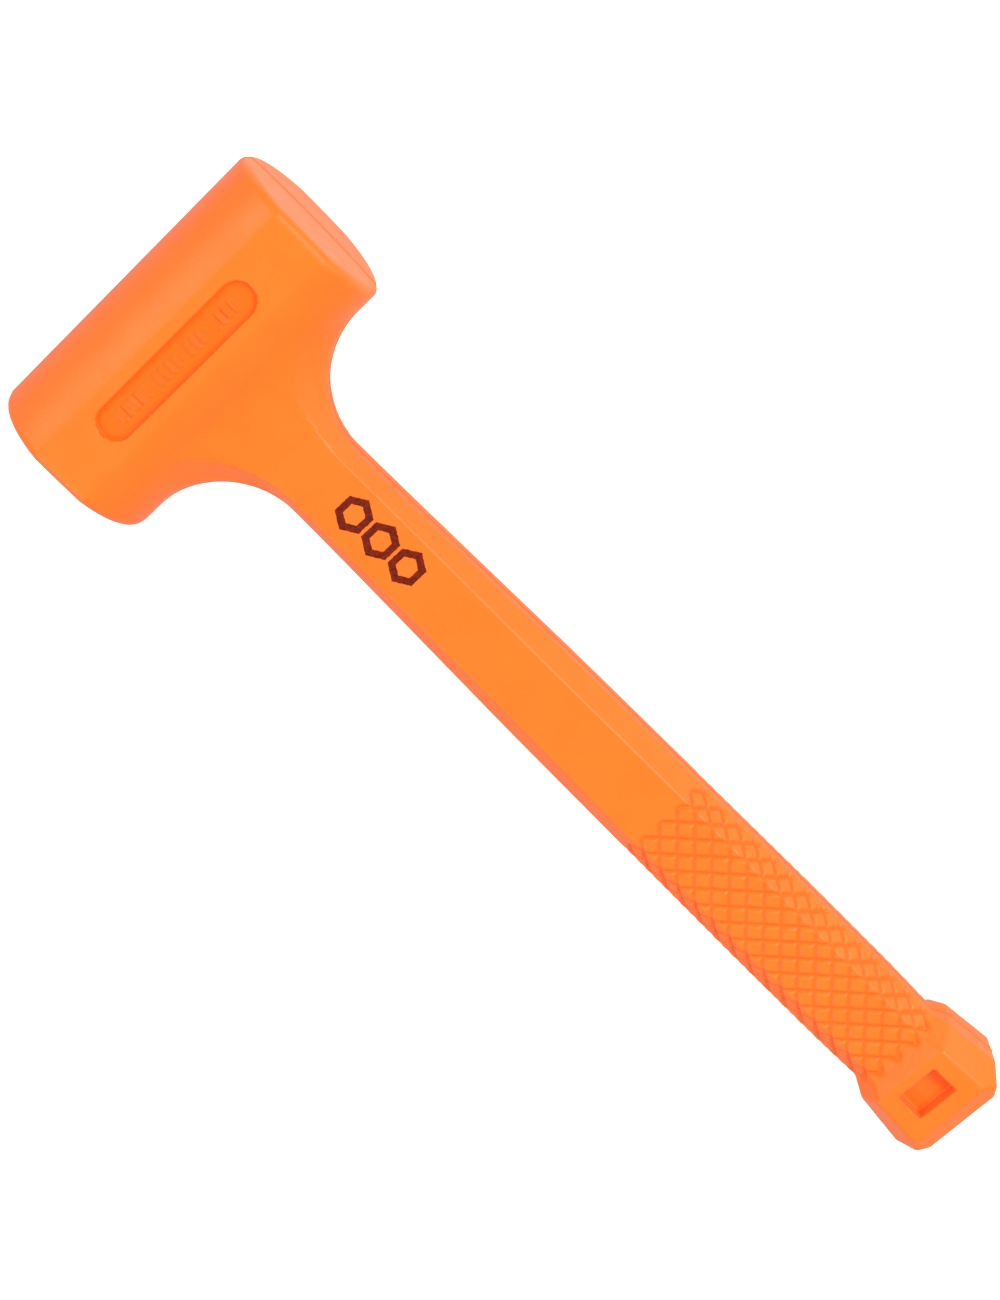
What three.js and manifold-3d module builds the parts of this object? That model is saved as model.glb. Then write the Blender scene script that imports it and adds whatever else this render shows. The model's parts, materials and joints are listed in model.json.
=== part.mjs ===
// A dead blow mallet: one urethane casting over a steel canister of shot and a steel handle rod.
// Millimetres, +Z up. +X runs down the handle to the butt, and Y is the axis of the head, through
// both striking faces. Sizes and stations are counted from the centre of the head, and the whole
// mallet is then set with the middle of its length at the origin.
import * as THREE from "three";
import { mergeVertices } from "three/addons/utils/BufferGeometryUtils.js";
import Module from "manifold-3d";

// Clearance between two neighbouring pieces.
const GAP = 0.3;

// The casting's head: a cylinder with a flat on its upper and its lower side.
const HEAD = { radius: 25.4, halfLength: 49, edgeRadius: 3, flatHeight: 23.9, sides: 48 };

// The shallow round-ended recess in each flat, a little off the middle of the head's length.
const RECESS = { halfWidth: 5.2, halfLength: 29, depth: 1.1, y: -0.7 };

// The neck: each face of the eight-sided handle sweeps out into the head on an arc of one radius.
// An arc starts at its own station, because the faces meet the round head at different angles.
const NECK = {
  start: 18,
  arcRadius: 27.7,
  sideArcStart: 53,
  chamferArcStart: 48,
  topArcStart: 36.8,
  leastStrip: 0.5,
  steps: 12,
};

// Eight-sided sections from the neck to the butt. Each has an upright side strip of half height
// strip at half width side, and a level top of half width crease at half height top.
const HANDLE_SECTIONS = [
  { x: 53, side: 12.3, strip: 4.9, crease: 9.1, top: 10.8 },
  { x: 100, side: 13.2, strip: 4.7, crease: 9.2, top: 10.7 },
  { x: 140, side: 14.2, strip: 4.4, crease: 9.2, top: 10.8 },
  { x: 184, side: 14.8, strip: 4.0, crease: 9.8, top: 11.6 },
  { x: 240, side: 15.4, strip: 4.0, crease: 9.8, top: 11.7 },
  { x: 291.7, side: 15.0, strip: 4.0, crease: 9.8, top: 11.7 },
  { x: 296.8, side: 17.6, strip: 7.2, crease: 12.8, top: 17.3 },
  { x: 314.7, side: 19.5, strip: 7.8, crease: 13.6, top: 16.9 },
  { x: 321.2, side: 14.4, strip: 7.5, crease: 13.0, top: 12.0 },
];

// The rectangular pocket in the butt's upper and lower face.
const POCKET = { x: 304.5, length: 9.7, width: 13.6, depth: 4.8, faceHeight: 17.1 };

// The canister: a tube closed by two stepped caps.
const CANISTER = { outerRadius: 20.5, innerRadius: 18.5, halfLength: 39, sides: 40 };
const CAP = { flange: 2.5, spigot: 1.5 };

// The handle rod, coped to the tube, and the fillet weld round its foot.
const ROD = { radius: 6, foot: 15, end: 302, chamfer: 1, sides: 24 };
const WELD = { outerRadius: 10.6, foot: 16, toe: 24.8 };

// The hole that the rod's locating pin leaves in the butt's end face.
const PIN_HOLE = { radius: 2, length: 30, sides: 16 };

// The charge of shot: lanes of balls, one in the middle and a ring of six.
const SHOT = { radius: 5.9, ringLanes: 6, ballsPerLane: 4 };

const URETHANE = { color: 0xff8c2d, roughness: 0.5, metalness: 0 };
const TUBE_STEEL = { color: 0x8f9296, roughness: 0.45, metalness: 1 };
const ROD_STEEL = { color: 0x6f7276, roughness: 0.5, metalness: 1 };
const WELD_STEEL = { color: 0x5a5754, roughness: 0.6, metalness: 0.9 };
const SHOT_STEEL = { color: 0xa8abb0, roughness: 0.3, metalness: 1 };

const wasm = await Module();
wasm.setup();

// A closed geometry as a manifold-3d solid.
function solidOf(geometry) {
  const bare = geometry.clone();
  bare.deleteAttribute("normal");
  bare.deleteAttribute("uv");
  const merged = mergeVertices(bare);
  const mesh = new wasm.Mesh({
    numProp: 3,
    vertProperties: merged.attributes.position.array,
    triVerts: new Uint32Array(merged.index.array),
  });
  return new wasm.Manifold(mesh);
}

// A manifold-3d solid as a geometry.
function geometryOf(solid) {
  const mesh = solid.getMesh();
  const geometry = new THREE.BufferGeometry();
  geometry.setAttribute("position", new THREE.BufferAttribute(mesh.vertProperties, 3));
  geometry.setIndex(new THREE.BufferAttribute(mesh.triVerts, 1));
  geometry.computeVertexNormals();
  return geometry;
}

function meshOf(name, geometry, finish) {
  const mesh = new THREE.Mesh(geometry, new THREE.MeshStandardMaterial(finish));
  mesh.name = name;
  return mesh;
}

// A cylinder along Y, centred on the origin.
function cylinderAlongY(radius, length, sides) {
  return new THREE.CylinderGeometry(radius, radius, length, sides);
}

// A solid of revolution about X, from points of [x, radius] that start and end on the axis.
function turnedAboutX(outline, sides) {
  const points = outline.map(([x, radius]) => new THREE.Vector2(radius, x));
  return new THREE.LatheGeometry(points, sides).rotateZ(-Math.PI / 2);
}

// Points of a quarter circle in the plane, from angle start, a quarter turn anticlockwise.
function quarterArc(x, y, radius, start, steps) {
  return Array.from({ length: steps + 1 }, (_, i) => {
    const angle = start + (i / steps) * (Math.PI / 2);
    return new THREE.Vector2(x + radius * Math.cos(angle), y + radius * Math.sin(angle));
  });
}

// The head's turned body, cut by its two flats.
function headSolid() {
  const arcX = HEAD.radius - HEAD.edgeRadius;
  const arcY = HEAD.halfLength - HEAD.edgeRadius;
  const outline = [
    new THREE.Vector2(0, -HEAD.halfLength),
    ...quarterArc(arcX, -arcY, HEAD.edgeRadius, -Math.PI / 2, 3),
    ...quarterArc(arcX, arcY, HEAD.edgeRadius, 0, 3),
    new THREE.Vector2(0, HEAD.halfLength),
  ];
  const turned = solidOf(new THREE.LatheGeometry(outline, HEAD.sides));
  const between = new THREE.BoxGeometry(
    3 * HEAD.radius,
    3 * HEAD.halfLength,
    2 * HEAD.flatHeight,
  );
  return turned.intersect(solidOf(between));
}

// How far a face has risen at x on its arc into the head.
function neckRise(x, arcStart) {
  const reach = Math.min(arcStart - x, 0.97 * NECK.arcRadius);
  return NECK.arcRadius - Math.sqrt(NECK.arcRadius ** 2 - Math.max(reach, 0) ** 2);
}

// The neck's section at x: the handle's first section with its faces moved out along their arcs.
function neckSection(x) {
  const handle = HANDLE_SECTIONS[0];
  const chamfer = new THREE.Vector2(handle.side - handle.crease, handle.top - handle.strip);
  const normal = new THREE.Vector2(chamfer.y, chamfer.x).normalize();
  const chamferOffset =
    normal.x * handle.side + normal.y * handle.strip + neckRise(x, NECK.chamferArcStart);
  const top = handle.top + neckRise(x, NECK.topArcStart);
  const widest = (chamferOffset - normal.y * NECK.leastStrip) / normal.x;
  const side = Math.min(handle.side + neckRise(x, NECK.sideArcStart), widest);
  const strip = (chamferOffset - normal.x * side) / normal.y;
  const crease = (chamferOffset - normal.y * top) / normal.x;
  return { x, side, strip, crease, top };
}

// Even stations along the neck, up to the handle's first section.
function neckSections() {
  const step = (HANDLE_SECTIONS[0].x - NECK.start) / NECK.steps;
  return Array.from({ length: NECK.steps }, (_, i) => neckSection(NECK.start + i * step));
}

// The eight corners of a section, anticlockwise as seen from +X.
function sectionCorners({ side, strip, crease, top }) {
  const quarter = [
    [side, strip],
    [crease, top],
  ];
  const upper = [...quarter, ...quarter.map(([y, z]) => [-y, z]).reverse()];
  return [...upper, ...upper.map(([y, z]) => [-y, -z])];
}

// A closed skin through sections that all have the same number of corners.
function loftAlongX(sections) {
  const rings = sections.map(sectionCorners);
  const count = rings[0].length;
  const positions = rings.flatMap((ring, s) => ring.flatMap(([y, z]) => [sections[s].x, y, z]));
  const index = [];
  for (let s = 0; s + 1 < rings.length; s++) {
    for (let i = 0; i < count; i++) {
      const a = s * count + i;
      const b = s * count + ((i + 1) % count);
      index.push(a, b, b + count, a, b + count, a + count);
    }
  }
  const last = (rings.length - 1) * count;
  for (let i = 1; i + 1 < count; i++) {
    index.push(0, i + 1, i, last, last + i, last + i + 1);
  }
  const geometry = new THREE.BufferGeometry();
  geometry.setAttribute("position", new THREE.Float32BufferAttribute(positions, 3));
  return geometry.setIndex(index);
}

// A tool that sinks the recess into the upper flat.
function recessTool() {
  const straight = RECESS.halfLength - RECESS.halfWidth;
  const shape = new THREE.Shape();
  shape.absarc(0, straight, RECESS.halfWidth, 0, Math.PI);
  shape.absarc(0, -straight, RECESS.halfWidth, Math.PI, 2 * Math.PI);
  const tool = new THREE.ExtrudeGeometry(shape, {
    depth: 2 * RECESS.depth,
    bevelEnabled: false,
    curveSegments: 10,
  });
  return tool.translate(0, RECESS.y, HEAD.flatHeight - RECESS.depth);
}

// A tool that sinks the pocket into the butt's upper face.
function pocketTool() {
  const tool = new THREE.BoxGeometry(POCKET.length, POCKET.width, 2 * POCKET.depth);
  return tool.translate(POCKET.x, 0, POCKET.faceHeight);
}

// A copy of a tool for the lower side.
function onLowerSide(tool) {
  return tool.clone().rotateX(Math.PI);
}

// The fillet weld's ring before it is cut to the tube, larger by allowance all round.
function weldRing(allowance) {
  return turnedAboutX(
    [
      [WELD.foot, 0],
      [WELD.foot, WELD.outerRadius + allowance],
      [WELD.toe - (WELD.outerRadius - ROD.radius), WELD.outerRadius + allowance],
      [WELD.toe + allowance, ROD.radius + GAP],
      [WELD.toe + allowance, 0],
    ],
    ROD.sides,
  );
}

// The space inside the casting: the canister's, the weld's, the rod's and the pin's.
function cavitySolid() {
  const canister = cylinderAlongY(
    CANISTER.outerRadius + GAP,
    2 * (CANISTER.halfLength + GAP),
    CANISTER.sides,
  );
  const rod = turnedAboutX(
    [
      [ROD.foot, 0],
      [ROD.foot, ROD.radius + GAP],
      [ROD.end + GAP, ROD.radius + GAP],
      [ROD.end + GAP, 0],
    ],
    ROD.sides,
  );
  const pin = turnedAboutX(
    [
      [ROD.end - 1, 0],
      [ROD.end - 1, PIN_HOLE.radius],
      [ROD.end + PIN_HOLE.length, PIN_HOLE.radius],
      [ROD.end + PIN_HOLE.length, 0],
    ],
    PIN_HOLE.sides,
  );
  return [weldRing(GAP), rod, pin].reduce(
    (whole, piece) => whole.add(solidOf(piece)),
    solidOf(canister),
  );
}

function overmould() {
  const tools = [recessTool(), pocketTool()];
  const cuts = [...tools, ...tools.map(onLowerSide)];
  const outside = headSolid().add(solidOf(loftAlongX([...neckSections(), ...HANDLE_SECTIONS])));
  const cut = cuts.reduce((solid, tool) => solid.subtract(solidOf(tool)), outside);
  return meshOf("overmould", geometryOf(cut.subtract(cavitySolid())), URETHANE);
}

function canisterTube() {
  const halfLength = CANISTER.halfLength - CAP.flange - GAP;
  const outline = [
    new THREE.Vector2(CANISTER.innerRadius, -halfLength),
    new THREE.Vector2(CANISTER.outerRadius, -halfLength),
    new THREE.Vector2(CANISTER.outerRadius, halfLength),
    new THREE.Vector2(CANISTER.innerRadius, halfLength),
    new THREE.Vector2(CANISTER.innerRadius, -halfLength),
  ];
  return meshOf("canister_tube", new THREE.LatheGeometry(outline, CANISTER.sides), TUBE_STEEL);
}

// The cap that closes the canister's +Y end: a flange outside the tube and a spigot inside it.
function canisterCap(name) {
  const flangeInside = CANISTER.halfLength - CAP.flange;
  const spigotRadius = CANISTER.innerRadius - GAP;
  const outline = [
    new THREE.Vector2(0, flangeInside - CAP.spigot),
    new THREE.Vector2(spigotRadius, flangeInside - CAP.spigot),
    new THREE.Vector2(spigotRadius, flangeInside),
    new THREE.Vector2(CANISTER.outerRadius, flangeInside),
    new THREE.Vector2(CANISTER.outerRadius, CANISTER.halfLength),
    new THREE.Vector2(0, CANISTER.halfLength),
  ];
  return meshOf(name, new THREE.LatheGeometry(outline, CANISTER.sides), TUBE_STEEL);
}

// The tube's outside with its clearance, which copes the rod and the weld.
function copingTool() {
  const length = 2 * CANISTER.halfLength;
  return solidOf(cylinderAlongY(CANISTER.outerRadius + GAP, length, 2 * CANISTER.sides));
}

function handleRod() {
  const bar = turnedAboutX(
    [
      [ROD.foot, 0],
      [ROD.foot, ROD.radius],
      [ROD.end - ROD.chamfer, ROD.radius],
      [ROD.end, ROD.radius - ROD.chamfer],
      [ROD.end, 0],
    ],
    ROD.sides,
  );
  return meshOf("handle_rod", geometryOf(solidOf(bar).subtract(copingTool())), ROD_STEEL);
}

function handleRodWeld() {
  const length = 2 * (WELD.toe - WELD.foot);
  const bore = cylinderAlongY(ROD.radius + GAP, length, ROD.sides);
  bore.rotateZ(-Math.PI / 2).translate(WELD.toe - GAP, 0, 0);
  const ring = solidOf(weldRing(0)).subtract(solidOf(bore)).subtract(copingTool());
  return meshOf("handle_rod_weld", geometryOf(ring), WELD_STEEL);
}

// One lane of balls, side by side along Y.
function shotLane(lane, x, z) {
  const group = new THREE.Group();
  const pitch = 2 * SHOT.radius + GAP;
  for (let ball = 0; ball < SHOT.ballsPerLane; ball++) {
    const sphere = new THREE.IcosahedronGeometry(SHOT.radius, 1);
    const mesh = meshOf(`shot_${lane}_${ball + 1}`, sphere, SHOT_STEEL);
    mesh.position.y = (ball - (SHOT.ballsPerLane - 1) / 2) * pitch;
    group.add(mesh);
  }
  group.position.set(x, 0, z);
  return group;
}

function shotCharge() {
  const group = new THREE.Group();
  const ringRadius = 2 * SHOT.radius + GAP;
  group.add(shotLane(1, 0, 0));
  for (let i = 0; i < SHOT.ringLanes; i++) {
    const angle = (i / SHOT.ringLanes) * 2 * Math.PI;
    const x = ringRadius * Math.cos(angle);
    const z = ringRadius * Math.sin(angle);
    group.add(shotLane(i + 2, x, z));
  }
  return group;
}

function mallet() {
  const lowerCap = canisterCap("canister_cap_minus_y");
  lowerCap.rotation.x = Math.PI;
  const buttEnd = HANDLE_SECTIONS.at(-1).x;
  const group = new THREE.Group();
  group.position.x = -(buttEnd - HEAD.radius) / 2;
  group.add(
    overmould(),
    canisterTube(),
    canisterCap("canister_cap_plus_y"),
    lowerCap,
    handleRod(),
    handleRodWeld(),
    shotCharge(),
  );
  return group;
}

export default new THREE.Group().add(mallet());
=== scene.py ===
import json
import math

import bmesh
import bpy
import numpy as np
from mathutils import Matrix, Vector


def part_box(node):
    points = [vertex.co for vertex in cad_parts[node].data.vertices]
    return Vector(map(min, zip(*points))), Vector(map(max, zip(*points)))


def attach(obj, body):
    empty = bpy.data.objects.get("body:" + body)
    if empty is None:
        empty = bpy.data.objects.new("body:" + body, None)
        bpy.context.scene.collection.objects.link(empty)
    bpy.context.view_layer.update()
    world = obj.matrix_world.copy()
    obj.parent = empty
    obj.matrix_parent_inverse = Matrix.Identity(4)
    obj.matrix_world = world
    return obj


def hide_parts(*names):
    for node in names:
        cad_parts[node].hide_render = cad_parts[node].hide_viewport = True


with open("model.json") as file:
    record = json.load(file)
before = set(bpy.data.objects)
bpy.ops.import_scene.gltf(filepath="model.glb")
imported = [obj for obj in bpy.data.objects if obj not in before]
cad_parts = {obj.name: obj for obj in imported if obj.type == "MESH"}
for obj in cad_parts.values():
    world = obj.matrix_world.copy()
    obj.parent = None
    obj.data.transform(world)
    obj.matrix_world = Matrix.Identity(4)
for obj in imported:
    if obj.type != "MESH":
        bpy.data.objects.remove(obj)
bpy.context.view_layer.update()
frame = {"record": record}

MM = 0.001


# What the CAD says: the pieces' places and sizes.
HEAD_CENTRE = sum(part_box("canister_tube"), Vector()) / 2
SKIN_LOW, SKIN_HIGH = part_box("overmould")
TUBE_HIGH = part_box("canister_tube")[1]
CAP_LOW, CAP_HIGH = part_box("canister_cap_plus_y")
ROD_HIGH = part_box("handle_rod")[1]
WELD_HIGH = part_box("handle_rod_weld")[1]
TUBE_RADIUS, TUBE_HALF_LENGTH = TUBE_HIGH.z / MM, TUBE_HIGH.y / MM
CANISTER_HALF_LENGTH = CAP_HIGH.y / MM
ROD_RADIUS, ROD_END = ROD_HIGH.z / MM, (ROD_HIGH - HEAD_CENTRE).x / MM
WELD_RADIUS, WELD_TOE = WELD_HIGH.z / MM, (WELD_HIGH - HEAD_CENTRE).x / MM

# The clearance between pieces, the tube's wall, and a distance that counts as far away.
GAP = 0.3
TUBE_WALL = 2.0
FAR = 9.0

# The head: a cylinder with two flats and slightly crowned striking faces.
HEAD_RADIUS = (HEAD_CENTRE - SKIN_LOW).x / MM
HEAD_HALF_LENGTH = SKIN_HIGH.y / MM
FLAT_HEIGHT = SKIN_HIGH.z / MM
FACE_CROWN = 0.6
RIM_ROUNDING = 2.7
FLAT_ROUNDING = 3.0

# The neck is one concave fillet between head and handle.
NECK_RADIUS = 27.7

# Round-ended recess in each flat, with plain ribs on its floor. It lies a little off the middle along Y.
RECESS_HALF_WIDTH = 5.2
RECESS_HALF_LENGTH = 29.0
RECESS_Y = -0.7
RECESS_DEPTH = 1.1
RIB_HALF_WIDTH = 2.1
RIB_HALF_LENGTH = 0.62
RIB_HEIGHT = 0.35
RIB_PITCH = 2.4
RIB_PATTERN = (1, 1, 1, 1, 1, 0, 1, 1, 1, 1, 0, 1, 1, 1, 0, 1, 1, 1, 1)
RIB_CORNER, RIB_TOP_ROUNDING, RIB_FILLET = 0.3, 0.25, 0.25

# Where a recess's or pocket's floor meets its wall, and where its wall meets the skin.
FLOOR_FILLET, LIP_ROUNDING = 0.5, 0.35

# Stations down the handle: x, half width at the side, half height of the side strip, half width of the
# level top, half height of the top, and how far each way the corner at that station is blended.
HANDLE = (
    (53.0, 12.30, 4.9, 9.10, 10.80, 6.0),
    (70.0, 12.50, 4.9, 9.15, 10.75, 8.0),
    (100.0, 13.20, 4.7, 9.20, 10.70, 10.0),
    (140.0, 14.20, 4.4, 9.20, 10.80, 12.0),
    (184.0, 14.80, 4.0, 9.80, 11.60, 12.0),
    (240.0, 15.40, 4.0, 9.80, 11.70, 12.0),
    (276.0, 15.40, 4.0, 9.80, 11.70, 8.0),
    (291.7, 15.00, 4.0, 9.80, 11.70, 1.3),
    (296.8, 17.70, 7.2, 12.80, 17.30, 0.9),
    (314.7, 19.50, 7.8, 13.60, 16.90, 1.0),
)

# How far the long creases are rounded, on the handle and on the butt, and where along X that changes.
CREASE_ROUNDING, BUTT_CREASE_ROUNDING = 1.0, 2.2
CREASE_CHANGE_START, CREASE_CHANGE_END = 291, 299

# The butt's bevels run from these half sizes at the last station to the end face.
BUTT_END = (SKIN_HIGH - HEAD_CENTRE).x / MM
BEVEL_START, BUTT_SIDE, BUTT_TOP = HANDLE[-1][0], HANDLE[-1][1], HANDLE[-1][4]
END_SIDE, END_TOP = 12.9, 12.0
BUTT_ROUNDING = 2.2
POCKET_X = 304.5
POCKET_HALF_LENGTH = 4.85
POCKET_HALF_WIDTH = 6.8
POCKET_FLOOR = 12.4
POCKET_CORNER = 0.6
PIN_HOLE_RADIUS = 2.0
PIN_HOLE_FLOOR = 303.0
PIN_HOLE_ROUNDING = 0.3

# The diamond knurl: two families of grooves wound round the grip.
KNURL_START, KNURL_END = 189.0, 292.6
KNURL_ORIGIN = 196.4
KNURL_PITCH_X, KNURL_PITCH_ROUND = 7.4, 7.0
GROOVE_DEPTH = 0.65
GROOVE_WIDTH = 0.62
PILLOW = 0.12
KNURL_FADE_LOW, KNURL_FADE_HIGH = 3.2, 4.6
KNURL_END_BEFORE, KNURL_END_AFTER = 0.6, 0.9
WRAP_RADIUS = 1.5

# How far each detail reaches, so that it is worked out only there: the head along X, the butt before its
# bevels, the knurl before its start, and the knurl below the surface.
HEAD_REACH = 60
BUTT_REACH = 25
KNURL_MARGIN, KNURL_REACH = 2, 3

# Mould marks: the parting line at mid height and a witness line across the handle.
PARTING_HEIGHT, PARTING_WIDTH = 0.22, 0.25
WITNESS_X, WITNESS_HEIGHT, WITNESS_WIDTH = 105.0, 0.05, 0.35

# The printed mark on the upper face of the handle.
MARK_X, MARK_Y = 74.6, 0.7
MARK_PITCH = 10.4
MARK_HALF_WIDTH, MARK_STROKE = 4.75, 2.1
MARK_SQUEEZE = 0.914

# Colours, linear.
URETHANE_LIGHT = (1.0, 0.156, 0.0060, 1)
URETHANE_DEEP = (1.0, 0.149, 0.0045, 1)
URETHANE_SPECK = (1.0, 0.21, 0.02, 1)
# Painted shade: the urethane's colour where shade is painted into the knurl's grooves, the recess and along
# the parting line.
URETHANE_PAINTED_SHADE = (1.0, 0.105, 0.0015, 1)
INK_DARK = (0.05, 0.002, 0.0015, 1)
INK_WORN = (0.15, 0.007, 0.003, 1)
DRAWN_DULL, DRAWN_BRIGHT = (0.36, 0.37, 0.38, 1), (0.50, 0.51, 0.52, 1)
OIL = (0.22, 0.13, 0.07, 1)
SCALE_DARK, SCALE_LIGHT = (0.07, 0.075, 0.085, 1), (0.16, 0.16, 0.165, 1)
SCALE_WORN = (0.42, 0.41, 0.40, 1)
TINT_STRAW, TINT_BLUE = (0.42, 0.30, 0.13, 1), (0.16, 0.20, 0.34, 1)
BEAD_BRIGHT, SOOT = (0.42, 0.41, 0.39, 1), (0.03, 0.03, 0.03, 1)
SHOT_DULL, SHOT_BRIGHT = (0.33, 0.335, 0.35, 1), (0.50, 0.50, 0.51, 1)
SHOT_PIT = (0.06, 0.05, 0.05, 1)

# The urethane's gloss and sheen where shade is painted or it is inked, and how much each gains where it is
# plain.
GLOSS_LEAST, GLOSS_GAIN = 0.10, 0.22
SHEEN_LEAST, SHEEN_GAIN, SHEEN_ROUGHNESS = 0.01, 0.09, 0.45

# The studio, a bright tent. A softbox lies in a direction at a distance, has a size in metres and a power in
# watts, and faces the object. The card lies on the floor beside the striking face and lights it from below.
SOFTBOXES = {
    "softbox_right": ((0.20, 0.70, 0.68), 1.2, (0.5, 0.5), 12.8),
    "fill_behind_head": ((-0.85, -0.10, 0.50), 1.2, (0.5, 0.5), 4.2),
    "fill_left": ((-0.10, -0.80, 0.60), 1.2, (0.5, 0.5), 4.2),
}
CARD_PLACE, CARD_SIZE, CARD_POWER = (0.0, 0.17), (0.56, 0.22), 0.22
WORLD_LIGHT = 0.68
FLOOR_SHADE = 0.40
FLOOR_DROP = 25 * MM
FLOOR_HEIGHT = SKIN_LOW.z - FLOOR_DROP
FLOOR_HALF = 2.0

# The camera, from the head's centre, in metres.
VIEW_FROM = (-0.0114, 0.1659, 0.6494)
VIEW_RIGHT = (0.9806, 0.0537, 0.1885)
VIEW_UP = (-0.0052, 0.9686, -0.2486)
VIEW_BACK = (-0.1959, 0.2428, 0.9501)
VIEW_ROLL = math.radians(44.5)
VIEW_LENS = 66.06


# ---------------------------------------------------------------- the casting's shape as a distance field

def rounded_edge(a, b, cosine, radius):
    """The distance to where both a and b are negative, with their edge rounded, and each one's share of its
    normal. cosine is that of the angle between the two normals."""
    a, b = a + radius, b + radius
    sine2 = np.maximum(1 - cosine * cosine, 1e-3)
    rounding = (a > cosine * b) & (b > cosine * a)
    length = np.sqrt(np.maximum(a * a + b * b - 2 * cosine * a * b, 1e-9) / sine2)
    distance = np.where(rounding, length, np.maximum(a, b)) - radius
    share_a = np.where(rounding, (a - cosine * b) / (sine2 * length), a >= b)
    share_b = np.where(rounding, (b - cosine * a) / (sine2 * length), a < b)
    return distance, share_a, share_b


def joined(a, b, cosine, radius):
    """The distance to where a or b is negative, with a fillet between them."""
    return -rounded_edge(-a, -b, cosine, radius)[0]


def blended_line(x, column):
    """A column of HANDLE at x: straight between stations, with its corners blended."""
    table = np.array(HANDLE)
    stations, values, blends = table[:, 0], table[:, column], table[:, 5]
    slopes = np.diff(values) / np.diff(stations)
    result = values[0] + 0 * x
    for station, change, blend in zip(stations, np.diff(slopes, prepend=0), blends):
        t = x - station
        result = result + change * np.where(abs(t) < blend, (t + blend) ** 2 / (4 * blend), np.maximum(t, 0))
    return result


def handle_section(x):
    """Side, strip, crease and top at x."""
    return [blended_line(x, column) for column in (1, 2, 3, 4)]


def chamfer_plane(x):
    """The chamfer's normal in Y and Z at x, and how far out it lies along that normal."""
    side, strip, crease, top = handle_section(x)
    length = np.hypot(side - crease, top - strip)
    ny, nz = (top - strip) / length, (side - crease) / length
    return ny, nz, ny * side + nz * strip


def slant(outline, x, step=0.05):
    """What a height over the X axis is divided by to give a distance, where its outline slopes."""
    slope = (outline(x + step) - outline(x - step)) / (2 * step)
    return np.sqrt(1 + slope * slope)


def head_field(x, y, z):
    """Distance to the head, and the Z part of its normal."""
    rho = np.hypot(x, z) + 1e-6
    profile, round_share, flat_share = rounded_edge(
        rho - HEAD_RADIUS, z - FLAT_HEIGHT, z / rho, FLAT_ROUNDING
    )
    face = y - (HEAD_HALF_LENGTH - FACE_CROWN * (rho / HEAD_RADIUS) ** 2)
    distance, _, _ = rounded_edge(profile, face, 0.0, RIM_ROUNDING)
    return distance, round_share * z / rho + flat_share


def wrapped(x, y, z):
    """How far round the grip a point lies from the middle of its top, measured along the surface."""
    side, strip, crease, top = handle_section(x)
    ny, nz, _ = chamfer_plane(x)
    turn = np.arctan2(ny, nz)
    corner = crease - WRAP_RADIUS * np.tan(turn / 2)
    qy, qz = y - corner, z - (top - WRAP_RADIUS)
    along = qy * nz - qz * ny
    fan = corner + WRAP_RADIUS * np.clip(np.arctan2(qy, np.maximum(qz, 1e-6)), 0, turn)
    round_corner = np.where(along > 0, corner + WRAP_RADIUS * turn + along, fan)
    return np.where(qy <= 0, y, round_corner)


def smooth_step(low, high, value):
    t = np.clip((value - low) / (high - low), 0, 1)
    return t * t * (3 - 2 * t)


def knurl_depth(x, y, z, side_sign):
    """How far the knurl sinks below the plain grip."""
    around = wrapped(x, y, z) * side_sign / KNURL_PITCH_ROUND
    along = (x - KNURL_ORIGIN) / KNURL_PITCH_X
    spacing = 1 / math.hypot(1 / KNURL_PITCH_X, 1 / KNURL_PITCH_ROUND)
    ridges = 1.0
    land = 1.0
    for phase in (along + around, along - around):
        off = abs(phase - np.round(phase))
        ridges = ridges * (1 - np.exp(-((off * spacing / GROOVE_WIDTH) ** 2)))
        land = land * np.sin(math.pi * off)
    window = smooth_step(KNURL_START - KNURL_END_BEFORE, KNURL_START + KNURL_END_AFTER, x)
    window = window * smooth_step(-KNURL_END - KNURL_END_BEFORE, -KNURL_END + KNURL_END_AFTER, -x)
    window = window * smooth_step(KNURL_FADE_LOW, KNURL_FADE_HIGH, z)
    return window * (GROOVE_DEPTH * (1 - ridges) + PILLOW * (1 - land))


def handle_field(x, y, z, side_sign):
    """Distance to the handle with its butt, and the Z part of its normal."""
    side, strip, crease, top = handle_section(x)
    ny, nz, reach = chamfer_plane(x)
    level = (z - top) / slant(lambda t: handle_section(t)[3], x)
    chamfer = (ny * y + nz * z - reach) / slant(lambda t: chamfer_plane(t)[2], x)
    upright = (y - side) / slant(lambda t: handle_section(t)[0], x)
    change = smooth_step(CREASE_CHANGE_START, CREASE_CHANGE_END, x)
    rounding = CREASE_ROUNDING + (BUTT_CREASE_ROUNDING - CREASE_ROUNDING) * change
    d, share, chamfer_share = rounded_edge(level, chamfer, nz, rounding)
    normal_y, normal_z = chamfer_share * ny, share + chamfer_share * nz
    d, share, upright_share = rounded_edge(d, upright, normal_y, rounding)
    normal_y, normal_z = share * normal_y + upright_share, share * normal_z
    if np.any(x > KNURL_START - KNURL_MARGIN):
        d = d + np.where(d > -KNURL_REACH, knurl_depth(x, y, z, side_sign), 0)
    if np.any(x > BEVEL_START - BUTT_REACH):
        d = butt_end(d, x, y, z, normal_y, normal_z)
    return d, normal_z


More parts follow.
